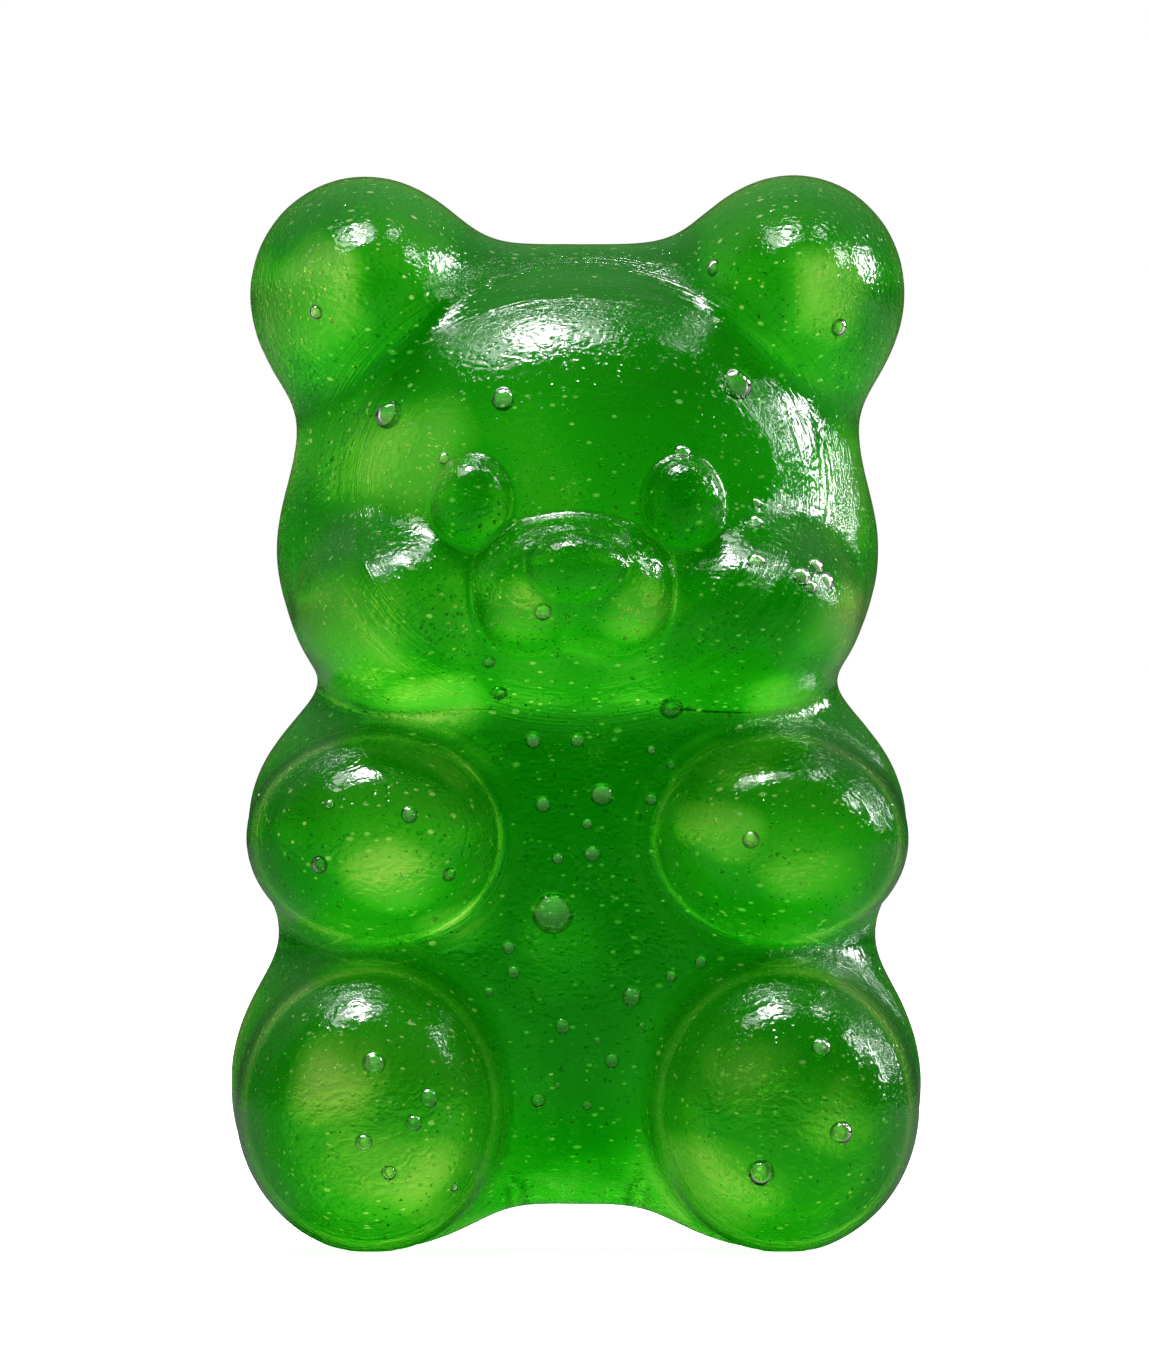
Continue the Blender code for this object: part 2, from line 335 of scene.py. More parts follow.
def head_lumps():
    """The dome of the head with the chin and both cheeks."""
    chin = {"widest": 4.2, "front": CHIN_FRONT, "melt": 1.2, "outline": 2.4}
    cheek = {"widest": 4.4, "front": CHEEK_FRONT, "melt": 0.9}
    return [
        Lump(0.0, HEAD_UP - 0.25, 5.30, 4.60, widest=3.2, front=HEAD_FRONT, outline=2.15),
        Lump(0.0, CHEEK_UP + 0.25, 5.30, 2.75, **chin),
        *pair(CHEEK_SPREAD, CHEEK_UP, 2.45, 2.05, **cheek),
    ]


def arm_lumps():
    """Both arms, held forward."""
    return pair(ARM_SPREAD, ARM_UP, 2.72, 2.25, widest=4.4, front=ARM_FRONT, profile=2.7)


def leg_lumps():
    """Both legs, held forward, with their undersides just through the floor."""
    return pair(LEG_SPREAD, LEG_UP, 2.78, 3.03, widest=4.7, front=LEG_FRONT, profile=2.9)


def muzzle_lumps():
    """The muzzle, with two lobes below that leave a cleft between them."""
    lobe = {"widest": 7.2, "front": MUZZLE_FRONT - 0.1, "melt": 0.7}
    return [
        Lump(-0.1, MUZZLE_UP, 2.02, 1.25, widest=7.2, front=MUZZLE_FRONT),
        *pair(0.85, MUZZLE_UP - 0.55, 1.30, 1.20, lean=-0.1, **lobe),
    ]


def nose_lumps():
    """The nose, high on the muzzle."""
    return [Lump(-0.03, NOSE_UP, 1.06, 0.72, widest=8.95, front=NOSE_FRONT)]


def eye_lumps():
    """Both eyes."""
    return pair(EYE_SPREAD, EYE_UP, 0.86, 0.97, widest=7.5, front=EYE_FRONT)


# Each group of lumps melts together first, then joins the groups before it with its own crease.
GROUPS = [
    (outline_lumps(), 0.0),
    (ear_lumps(), 0.8),
    (belly_lumps(), 1.0),
    (head_lumps(), HEAD_CREASE),
    (arm_lumps(), ARM_CREASE),
    (leg_lumps(), LEG_CREASE),
    (muzzle_lumps(), FACE_CREASE),
    (nose_lumps(), NOSE_CREASE),
    (eye_lumps(), FACE_CREASE),
]


def distance_to_lump(points, lump):
    """Signed distance from each point to the skin of a lump, true at the skin."""
    tiny = 1e-9
    half_width, half_depth, half_height = lump.half()
    offset = np.abs(points - np.array(lump.centre()))
    across = offset[:, 0] / half_width + tiny
    along = offset[:, 1] / half_depth + tiny
    up = offset[:, 2] / half_height + tiny
    rim = (across ** lump.outline + up ** lump.outline) ** (1 / lump.outline)
    size = (rim ** lump.profile + along ** lump.profile) ** (1 / lump.profile)
    rim_share = (rim / size) ** (lump.profile - 1)
    slope_across = rim_share * (across / rim) ** (lump.outline - 1) / half_width
    slope_up = rim_share * (up / rim) ** (lump.outline - 1) / half_height
    slope_along = (along / size) ** (lump.profile - 1) / half_depth
    slope = np.sqrt(slope_across ** 2 + slope_up ** 2 + slope_along ** 2)
    return (size - 1) / slope


def melt_together(first, second, width):
    """Union of two solids given by distance, with a soft join of the given width."""
    if width == 0:
        return np.minimum(first, second)
    overlap = np.maximum(width - np.abs(first - second), 0) / width
    return np.minimum(first, second) - overlap ** 3 * width / 6


def distance_to_group(points, lumps):
    """Signed distance from each point to the skin of one group of lumps."""
    distance = distance_to_lump(points, lumps[0])
    for lump in lumps[1:]:
        distance = melt_together(distance, distance_to_lump(points, lump), lump.melt)
    return distance


def distance_to_bear(points):
    """Signed distance from each point to the skin of the bear, true at the skin."""
    distance = np.full(len(points), np.inf)
    for lumps, crease in GROUPS:
        distance = melt_together(distance, distance_to_group(points, lumps), crease)
    behind_back = points[:, 1]
    distance = -melt_together(-distance, -behind_back, BACK_EDGE)
    below_floor = -points[:, 2]
    return -melt_together(-distance, -below_floor, SOLE_EDGE)


def slope_of_bear(points, distance, step=0.002):
    """Slope of the distance at each point, which is the way out of the skin."""
    ahead = [distance_to_bear(points + step * along) for along in np.eye(3)]
    return (np.stack(ahead, axis=1) - distance[:, None]) / step


def move_to_skin(points):
    """Slide points along the slope of the distance onto the skin of the bear."""
    distance = distance_to_bear(points)
    slope = slope_of_bear(points, distance)
    steepness = np.maximum((slope ** 2).sum(axis=1), LEAST_STEEPNESS)
    return points - slope * (distance / steepness)[:, None]


# ---- Meshes ----

def rough_balls():
    """One mesh holding a ball for every lump, each cut off at the flat back."""
    balls = bmesh.new()
    for lump in [lump for lumps, crease in GROUPS for lump in lumps]:
        placed = Matrix.LocRotScale(lump.centre(), None, lump.half())
        bmesh.ops.create_uvsphere(
            balls, u_segments=2 * BALL_RINGS, v_segments=BALL_RINGS, radius=1.0, matrix=placed
        )
    cut = bmesh.ops.bisect_plane(
        balls,
        geom=balls.verts[:] + balls.edges[:] + balls.faces[:],
        plane_co=(0, 0, 0),
        plane_no=(0, 1, 0),
        clear_outer=True,
    )
    rims = [item for item in cut["geom_cut"] if isinstance(item, bmesh.types.BMEdge)]
    bmesh.ops.holes_fill(balls, edges=rims)
    mesh = bpy.data.meshes.new("balls")
    balls.to_mesh(mesh)
    balls.free()
    return mesh


def with_modifier(mesh, kind, **settings):
    """The mesh after one modifier has been applied to it."""
    holder = bpy.data.objects.new("holder", mesh)
    bpy.context.scene.collection.objects.link(holder)
    modifier = holder.modifiers.new(kind.title(), kind)
    for name, value in settings.items():
        setattr(modifier, name, value)
    graph = bpy.context.evaluated_depsgraph_get()
    result = bpy.data.meshes.new_from_object(holder.evaluated_get(graph))
    bpy.data.objects.remove(holder)
    bpy.data.meshes.remove(mesh)
    return result


def points_of(mesh):
    """The mesh's points as an array."""
    flat = np.empty(len(mesh.vertices) * 3)
    mesh.vertices.foreach_get("co", flat)
    return flat.reshape(-1, 3)


def set_points(mesh, points):
    """Put the mesh's points where the array says."""
    mesh.vertices.foreach_set("co", np.asarray(points).ravel())
    mesh.update()


def settle(mesh, passes):
    """Even out the mesh and move every vertex onto the skin of the bear."""
    skin = bmesh.new()
    skin.from_mesh(mesh)
    for _ in range(passes):
        bmesh.ops.smooth_vert(
            skin,
            verts=skin.verts,
            factor=SMOOTHING,
            use_axis_x=True,
            use_axis_y=True,
            use_axis_z=True,
        )
        points = np.array([vertex.co for vertex in skin.verts])
        points = move_to_skin(points)
        for vertex, point in zip(skin.verts, points):
            vertex.co = point
    skin.to_mesh(mesh)
    skin.free()


def unevenness(points, size, depth, stretch, seed):
    """Depth of soft dents of one size at each point, from zero down to twice the depth."""
    shift = Vector((seed * 17.3, seed * 5.1, seed * 9.7))
    scale = Vector((1 / (size * stretch), 1 / size, 1 / size))
    lows = [noise.noise(Vector(point) * scale + shift) for point in points]
    return -depth * (1 + np.array(lows))


def roughen(mesh):
    """Press soft dents, ripples and fine grain into the skin."""
    points = points_of(mesh)
    outwards = slope_of_bear(points, distance_to_bear(points))
    outwards /= np.linalg.norm(outwards, axis=1)[:, None]
    depth = sum(
        unevenness(points, size, deep, stretch, seed)
        for seed, (size, deep, stretch) in enumerate((DENTS, RIPPLES, GRAIN))
    )
    sole = points[:, 2] < SOLE_HEIGHT
    depth[sole] = 0
    set_points(mesh, points + outwards * depth[:, None])


def to_bear_frame(points):
    """Points given with the flat back at y = 0, in millimetres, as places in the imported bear."""
    middle = (BEAR_LOW.x + BEAR_HIGH.x) / 2
    return np.asarray(points) * MM + (middle, BEAR_HIGH.y, BEAR_LOW.z)


def from_bear_frame(places):
    """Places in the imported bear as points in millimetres, with the flat back at y = 0."""
    middle = (BEAR_LOW.x + BEAR_HIGH.x) / 2
    return (np.asarray(places) - (middle, BEAR_HIGH.y, BEAR_LOW.z)) / MM


def on_face(point):
    """Whether a point lies on the face, where the mesh is finer."""
    within_height = FACE_LOW < point.z < FACE_HIGH
    return point.y < -FACE_FORWARD and within_height and abs(point.x) < FACE_HALF_WIDTH


def refine_face(mesh):
    """Halve the size of the mesh over the muzzle, nose and eyes."""
    skin = bmesh.new()
    skin.from_mesh(mesh)
    edges = [edge for edge in skin.edges if all(on_face(vertex.co) for vertex in edge.verts)]
    bmesh.ops.subdivide_edges(skin, edges=edges, cuts=1, use_grid_fill=True)
    skin.to_mesh(mesh)
    skin.free()


def skin_mesh():
    """The bear's skin as a fine, even mesh."""
    voxel = VOXEL
    mesh = with_modifier(rough_balls(), "REMESH", mode="VOXEL", voxel_size=voxel)
    settle(mesh, SETTLING_PASSES)
    mesh = with_modifier(mesh, "SUBSURF", levels=1)
    refine_face(mesh)
    set_points(mesh, move_to_skin(points_of(mesh)))
    roughen(mesh)
    set_points(mesh, np.clip(to_bear_frame(points_of(mesh)), BEAR_LOW, BEAR_HIGH))
    mesh.shade_smooth()
    return mesh


def under_front_skin(x, z, depth):
    """Where a point lies that is straight behind the front skin and this far under it."""
    y = np.arange(-LEG_FRONT - 0.5, 0.0, 0.01)
    points = np.stack([np.full_like(y, x), y, np.full_like(y, z)], axis=1)
    inside = distance_to_bear(points) < -depth
    return Vector(points[np.argmax(inside)])


def new_piece(name, mesh, material):
    """A piece that rides with the bear."""
    mesh.name = name
    mesh.materials.clear()
    mesh.materials.append(material)
    piece = bpy.data.objects.new(name, mesh)
    bpy.context.scene.collection.objects.link(piece)
    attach(piece, "root")
    return piece


# ---- Materials ----

def new_material(name):
    """An empty material and its node tree."""
    material = bpy.data.materials.new(name)
    material.use_nodes = True
    material.node_tree.nodes.clear()
    return material, material.node_tree


def add_node(tree, kind, inputs=None, **settings):
    """A node with its settings and its inputs, each a value or a socket to link from."""
    node = tree.nodes.new("ShaderNode" + kind)
    for name, value in settings.items():
        setattr(node, name, value)
    for key, value in (inputs or {}).items():
        if isinstance(value, bpy.types.NodeSocket):
            tree.links.new(value, node.inputs[key])
        else:
            node.inputs[key].default_value = value
    return node


def math_node(tree, operation, *values):
    """The result of a sum on values and sockets."""
    return add_node(tree, "Math", dict(enumerate(values)), operation=operation).outputs[0]


def ramp_node(tree, factor, stops):
    """A colour ramp through (position, colour) stops."""
    node = add_node(tree, "ValToRGB", {"Fac": factor})
    ramp = node.color_ramp
    while len(ramp.elements) < len(stops):
        ramp.elements.new(1.0)
    for element, (position, colour) in zip(ramp.elements, stops):
        element.position = position
        element.color = (*colour[:3], 1.0)
    return node.outputs["Color"]


def smooth_share(tree, value, start, end, low=0.0, high=1.0):
    """A value that goes softly from low to high between start and end."""
    return add_node(
        tree, "MapRange", {"Value": value, 1: start, 2: end, 3: low, 4: high},
        interpolation_type="SMOOTHSTEP",
    ).outputs[0]


def distance_from(tree, value, middle):
    """How far a value is from a given one."""
    return math_node(tree, "ABSOLUTE", math_node(tree, "SUBTRACT", value, middle))


def length_of(tree, vector):
    """The length of a vector."""
    return add_node(tree, "VectorMath", {0: vector}, operation="LENGTH").outputs["Value"]


def place_in_mm(tree):
    """Place on the object, in millimetres."""
    place = add_node(tree, "TexCoord").outputs["Object"]
    return add_node(tree, "VectorMath", {0: place, "Scale": 1 / MM}, operation="SCALE").outputs[0]


def strongest_spot(tree, place, spots):
    """The strongest of several soft round spots at each place."""
    total = None
    for x, z, half_width, half_height, strength in spots:
        closer = (1 / half_width, 1 / SPOT_HALF_DEPTH, 1 / half_height)
        shift = (-x / half_width, 0.0, -z / half_height)
        local = add_node(
            tree, "VectorMath", {0: place, 1: closer, 2: shift}, operation="MULTIPLY_ADD"
        ).outputs[0]
        share = smooth_share(tree, length_of(tree, local), 1.0, SPOT_CORE, 0.0, strength)
        total = share if total is None else math_node(tree, "MAXIMUM", total, share)
    return total


def wobbling(tree, place):
    """A place moved a little this way and that, so that round spots turn uneven."""
    wobble = add_node(tree, "TexNoise", {"Vector": place, "Scale": WOBBLE_SCALE, "Detail": 1.0})
    moved_back = add_node(tree, "VectorMath", {0: place, 1: [-WOBBLE / 2] * 3}, operation="ADD")
    return add_node(
        tree, "VectorMath",
        {0: wobble.outputs["Color"], 1: [WOBBLE] * 3, 2: moved_back.outputs[0]},
        operation="MULTIPLY_ADD",
    ).outputs[0]


def rim_field(tree, place, lumps):
    """The way out from the middle of the nearest lump, and how near the place is to its rim.

    The way out counts only near the rim.  Each lump stands for its pair, left and right.
    """
    folded = add_node(tree, "VectorMath", {0: place}, operation="ABSOLUTE").outputs[0]
    total, most = (0.0, 0.0, 0.0), 0.0
    for lump in lumps:
        closer = (1 / lump.half_width, 0.0, 1 / lump.half_height)
        shift = (-lump.across / lump.half_width, 0.0, -lump.up / lump.half_height)
        outward = add_node(
            tree, "VectorMath", {0: folded, 1: closer, 2: shift}, operation="MULTIPLY_ADD"
        ).outputs[0]
        away = distance_from(tree, length_of(tree, outward), RIM_PLACE)
        nearness = smooth_share(tree, away, RIM_REACH, 0.04)
        total = add_node(
            tree, "VectorMath", {0: outward, 1: nearness, 2: total}, operation="MULTIPLY_ADD"
        ).outputs[0]
        most = math_node(tree, "MAXIMUM", most, nearness)
    return total, most


def rim_line(tree, reach, line):
    """Strength of one soft line of painted light or painted shade round a lobe."""
    place, half_width, core, strength = line
    return smooth_share(tree, distance_from(tree, reach, place), half_width, core, 0.0, strength)


def painted_rim_lines(tree, place):
    """The line of painted light just inside the rim of each arm and leg, less the line of painted
    shade round it.
    """
    total, most = rim_field(tree, place, [arm_lumps()[1], leg_lumps()[1]])
    nearness = math_node(tree, "MAXIMUM", most, 0.05)
    reach = math_node(tree, "DIVIDE", length_of(tree, total), nearness)
    bright, dark = rim_line(tree, reach, PAINTED_RIM_LIGHT), rim_line(tree, reach, PAINTED_RIM_SHADE)
    return math_node(tree, "SUBTRACT", bright, dark)


def rim_ridges(tree, place):
    """Height of the fine ridges round the rims of the head, arms and legs, in millimetres."""
    total, most = rim_field(tree, place, [head_lumps()[0], arm_lumps()[1], leg_lumps()[1]])
    around = add_node(tree, "VectorMath", {0: total}, operation="NORMALIZE").outputs[0]
    sign = add_node(tree, "VectorMath", {0: place}, operation="SIGN").outputs[0]
    side = add_node(tree, "SeparateXYZ", {0: sign}).outputs["X"]
    shift = math_node(tree, "MULTIPLY", side, OTHER_SIDE)
    out = math_node(tree, "MULTIPLY_ADD", length_of(tree, total), RIDGES_ACROSS, shift)
    outwards = add_node(tree, "CombineXYZ", {"Y": out}).outputs[0]
    round_rim = add_node(tree, "VectorMath", {0: around, 1: outwards}, operation="ADD").outputs[0]
    ridges = add_node(
        tree, "TexNoise",
        {"Vector": round_rim, "Scale": RIDGE_SCALE, "Detail": 2.0, "Roughness": 0.6},
    ).outputs["Fac"]
    return math_node(tree, "MULTIPLY", ridges, math_node(tree, "MULTIPLY", most, RIDGE_HEIGHT))


def rings_and_peel(tree, place):
    """Height of the flowing rings and the orange-peel bumps in the skin, in millimetres."""
    flow = add_node(tree, "TexNoise", {"Vector": place, "Scale": FLOW_SCALE, "Detail": 2.0})
    rings = math_node(tree, "SINE", math_node(tree, "MULTIPLY", flow.outputs["Fac"], FLOW_TURNS))
    rings = math_node(tree, "MULTIPLY", rings, RING_HEIGHT)
    peel = add_node(
        tree, "TexNoise",
        {"Vector": place, "Scale": PEEL_SCALE, "Detail": 3.0, "Roughness": 0.6},
    ).outputs["Fac"]
    return math_node(tree, "ADD", rings, math_node(tree, "MULTIPLY", peel, PEEL_HEIGHT))


def pits(tree, place):
    """Height of small pits in about half the cells of the skin, in millimetres."""
    cells = add_node(tree, "TexVoronoi", {"Vector": place, "Scale": PIT_SCALE}).outputs
    height = smooth_share(tree, cells["Distance"], 0.0, PIT_REACH, -PIT_DEPTH, 0.0)
    chance = add_node(tree, "SeparateColor", {0: cells["Color"]}).outputs["Red"]
    pitted = math_node(tree, "GREATER_THAN", chance, CELLS_WITHOUT_PIT)
    return math_node(tree, "MULTIPLY", height, pitted)


def skin_height(tree, place):
    """Height of all the relief in the skin, in millimetres."""
    stretched = add_node(tree, "Mapping", {"Vector": place, "Scale": SKIN_STRETCH}).outputs[0]
    total = math_node(tree, "ADD", rings_and_peel(tree, stretched), pits(tree, stretched))
    return math_node(tree, "ADD", total, rim_ridges(tree, place))


def speck_mask(tree, place, spacing, widest):
    """Specks no wider than the given share of their spacing, each of its own size."""
    cells = add_node(tree, "TexVoronoi", {"Vector": place, "Scale": 1 / spacing}).outputs
    chance = add_node(tree, "SeparateColor", {0: cells["Color"]}).outputs["Red"]
    reach = smooth_share(tree, chance, CELLS_WITHOUT_SPECK, 1.0, 0.0, widest)
    inner = math_node(tree, "MULTIPLY", reach, 0.5)
    return add_node(
        tree, "MapRange", {"Value": cells["Distance"], 1: reach, 2: inner, 3: 0.0, 4: 1.0}
    ).outputs[0]


def painted_glow_and_shade(tree, place):
    """How much painted light the jelly's colour has at each place, from 0 to 1: painted glows,
    lighter sides and painted rim lines, less the painted shade.
    """
    normal = add_node(tree, "SeparateXYZ", {0: add_node(tree, "TexCoord").outputs["Normal"]})
    facing = math_node(tree, "ABSOLUTE", normal.outputs["Y"])
    sides = smooth_share(tree, facing, 0.6, 0.0, 0.0, PAINTED_SIDE_LIGHT)
    uneven = wobbling(tree, place)
    glow = math_node(tree, "MAXIMUM", strongest_spot(tree, uneven, PAINTED_GLOWS), sides)
    glow = math_node(tree, "SUBTRACT", glow, strongest_spot(tree, uneven, PAINTED_SHADES))
    return math_node(tree, "ADD", glow, painted_rim_lines(tree, place))


def jelly_material(jelly):
    """Green jelly: clear enough to see into, with painted glows and painted shade in its colour."""
    material, tree = new_material("green_jelly")
    place = place_in_mm(tree)
    colours = (jelly.belly_shade_colour, jelly.deep_colour, jelly.middle_colour, jelly.painted_glow_colour)
    # The colour ramp paints light and shade into the jelly: painted glows, lighter sides, rim lines
    # and painted shade.
    colour = ramp_node(tree, painted_glow_and_shade(tree, place), list(zip(RAMP_STOPS, colours)))
    drawn_out = add_node(tree, "Mapping", {"Vector": place, "Scale": SPECK_STRETCH}).outputs[0]
    for spacing, widest, speck in SPECKS:
        specks = speck_mask(tree, drawn_out, spacing, widest)
        speck_colour = (*getattr(jelly, speck), 1.0)
        colour = add_node(
            tree, "Mix", {"Factor": specks, 6: colour, 7: speck_colour}, data_type="RGBA"
        ).outputs[2]
    height = skin_height(tree, place)
    bump = add_node(tree, "Bump", {"Strength": 1.0, "Distance": MM, "Height": height})
    surface = add_node(
        tree, "BsdfPrincipled",
        {
            "Base Color": colour,
            "Roughness": jelly.roughness,
            "IOR": jelly.ior,
            "Metallic": 0.0,
            "Transmission Weight": jelly.clearness,
            "Normal": bump.outputs[0],
        },
    )
    inside = add_node(
        tree, "VolumeAbsorption",
        {"Color": (*jelly.absorption_colour, 1.0), "Density": jelly.absorption},
    )
    output = add_node(tree, "OutputMaterial")
    tree.links.new(surface.outputs[0], output.inputs["Surface"])
    tree.links.new(inside.outputs[0], output.inputs["Volume"])
    return material


def air_material():
    """The wall of an air bubble.  Its faces look inwards, so light bends as it leaves the jelly."""
    material, tree = new_material("trapped_air")
    place = place_in_mm(tree)
    dimples = add_node(tree, "TexNoise", {"Vector": place, "Scale": DIMPLE_SCALE, "Detail": 1.0})
    height = math_node(tree, "MULTIPLY", dimples.outputs[0], BUBBLE_DIMPLES)
    bump = add_node(tree, "Bump", {"Distance": MM, "Height": height})
    surface = add_node(
        tree, "BsdfPrincipled",
        {
            "Base Color": BUBBLE_COLOUR,
            "Roughness": 0.04,
            "IOR": BUBBLE_IOR,
            "Transmission Weight": 1.0,
            "Normal": bump.outputs[0],
        },
    )
    output = add_node(tree, "OutputMaterial")
    tree.links.new(surface.outputs[0], output.inputs["Surface"])
    return material


def fleck_material(flecks):
    """Pale sugary flecks, lighter in some places than in others."""
    material, tree = new_material("sugar_flecks")
    place = place_in_mm(tree)
    patch = add_node(
        tree, "TexNoise", {"Vector": place, "Scale": FLECK_PATCH_SCALE, "Detail": 2.0}
    ).outputs["Fac"]
    colour = ramp_node(tree, patch, [(0.3, flecks.dark_colour), (0.7, flecks.pale_colour)])
    surface = add_node(tree, "BsdfPrincipled", {"Base Color": colour, "Roughness": 0.5})
    output = add_node(tree, "OutputMaterial")
    tree.links.new(surface.outputs[0], output.inputs["Surface"])
    return material


# ---- Settings ----

def colour_setting(name, description, default):
    """A colour that the user can change."""
    return FloatVectorProperty(
        name=name, description=description, default=default, subtype="COLOR", size=3, min=0, max=1
    )


class GummyJellySettings(bpy.types.PropertyGroup):
    """Look of the jelly."""

    # The belly, deep, middle and glow colours run from painted shade to painted light: the belly
    # colour is painted shade, the glow colour painted glow.
    belly_shade_colour: colour_setting("Belly Colour", "Behind the arms and legs", (0.002, 0.22, 0.001))
    deep_colour: colour_setting(
        "Deep Colour", "Where little light is gathered", (0.016, 0.39, 0.008)
    )
    middle_colour: colour_setting("Middle Colour", "Between deep and glowing", (0.15, 0.60, 0.05))
    painted_glow_colour: colour_setting("Glow Colour", "Where most light is gathered", (0.72, 0.89, 0.30))
    pale_speck: colour_setting("Pale Specks", "Light specks in the skin", (0.95, 1.0, 0.65))
    dark_speck: colour_setting("Dark Specks", "Dark specks in the skin", (0.02, 0.30, 0.01))
    absorption_colour: colour_setting(
        "Tint", "Colour that deep jelly lets through", (0.70, 0.86, 0.50)
    )
    absorption: FloatProperty(
        name="Tint Density", description="How strongly depth tints the jelly",
        default=400.0, min=0.0,
    )
    clearness: FloatProperty(
        name="Clearness", description="Share of light that passes through the skin",
        default=0.88, min=0.0, max=1.0, subtype="FACTOR",
    )
    roughness: FloatProperty(
        name="Roughness", description="Softness of the shine", default=0.10, min=0.0, max=1.0,
        subtype="FACTOR",
    )
    ior: FloatProperty(
        name="Refraction", description="How strongly the jelly bends light", default=1.42, min=1.0
    )


class GummyBubbleSettings(bpy.types.PropertyGroup):
    """Air bubbles in the front skin."""

    stand_out: FloatProperty(
        name="Stand Out", description="Share of its radius that a bubble stands out of the skin",
        default=0.45, min=0.0, max=1.0, subtype="FACTOR",
    )
    detail: IntProperty(
        name="Detail", description="How often each bubble's faces are split",
        default=3, min=1, max=5,
    )


class GummyFleckSettings(bpy.types.PropertyGroup):
    """Sugar flecks just under the skin."""

    count: IntProperty(name="Count", description="Number of flecks", default=14000, min=0)
    size: FloatProperty(
        name="Size", description="Half length of a usual fleck", default=0.036 * MM, min=0.0,
        subtype="DISTANCE", unit="LENGTH",
    )
    depth: FloatProperty(
        name="Depth", description="How deep the deepest fleck lies", default=0.3 * MM, min=0.0,
        subtype="DISTANCE", unit="LENGTH",
    )
    seed: IntProperty(name="Seed", description="Which scatter is used", default=4)
    pale_colour: colour_setting("Pale Colour", "The lighter flecks", (0.95, 0.97, 0.65))
    dark_colour: colour_setting("Dark Colour", "The darker flecks", (0.60, 0.85, 0.30))


class GummyStudioSettings(bpy.types.PropertyGroup):
    """Camera, floor and lights."""

    lens: FloatProperty(
        name="Lens", description="Focal length of the camera", default=500.0, min=1.0,
        subtype="DISTANCE_CAMERA",
    )
    view_height: FloatProperty(
        name="View Height", description="Height that the camera takes in", default=28.05 * MM,
        subtype="DISTANCE", unit="LENGTH",
    )
    floor_colour: colour_setting("Floor Colour", "Colour of the floor", (0.9, 0.9, 0.9))
    main_light: FloatProperty(
        name="Main Light", description="Power of the light overhead", default=3.2, min=0.0,
        unit="POWER",
    )
    side_light: FloatProperty(
        name="Side Lights", description="Power of each light at the side", default=0.7, min=0.0,
        unit="POWER",
    )


# ---- Operators ----

class GUMMY_OT_jelly(bpy.types.Operator):
    """Make the bear itself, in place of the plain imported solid"""

    bl_idname = "gummy.jelly"
    bl_label = "Jelly Bear"
    bl_options = {"REGISTER", "UNDO"}

    def execute(self, context):
        """Build the skin and give it the jelly material."""
        piece = new_piece("jelly_bear", skin_mesh(), jelly_material(context.scene.gummy_jelly))
        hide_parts(NODE)
        return {"FINISHED"}


class GUMMY_OT_bubbles(bpy.types.Operator):
    """Set air bubbles into the front skin"""

    bl_idname = "gummy.bubbles"
    bl_label = "Air Bubbles"
    bl_options = {"REGISTER", "UNDO"}

    def execute(self, context):
        """Build every bubble in one mesh, with its faces turned inwards."""
        bubbles = context.scene.gummy_bubbles
        chance = np.random.default_rng(BUBBLE_SEED)
        balls = bmesh.new()
        places = EAR_BUBBLES + HEAD_BUBBLES + BELLY_BUBBLES + ARM_BUBBLES + LEG_BUBBLES
        for x, z, radius in places:
            middle = under_front_skin(x, z, radius * (1 - bubbles.stand_out))
            stretch = Vector(1 + chance.uniform(-BUBBLE_STRETCH, BUBBLE_STRETCH, 3))
            middle = Vector(to_bear_frame(middle))
            placed = Matrix.LocRotScale(middle, None, stretch * radius * MM)
            bmesh.ops.create_icosphere(
                balls, subdivisions=bubbles.detail, radius=1.0, matrix=placed
            )
        bmesh.ops.reverse_faces(balls, faces=balls.faces)
        mesh = bpy.data.meshes.new("air_bubbles")
        balls.to_mesh(mesh)
        balls.free()
        mesh.shade_smooth()
        new_piece("air_bubbles", mesh, air_material())
        return {"FINISHED"}


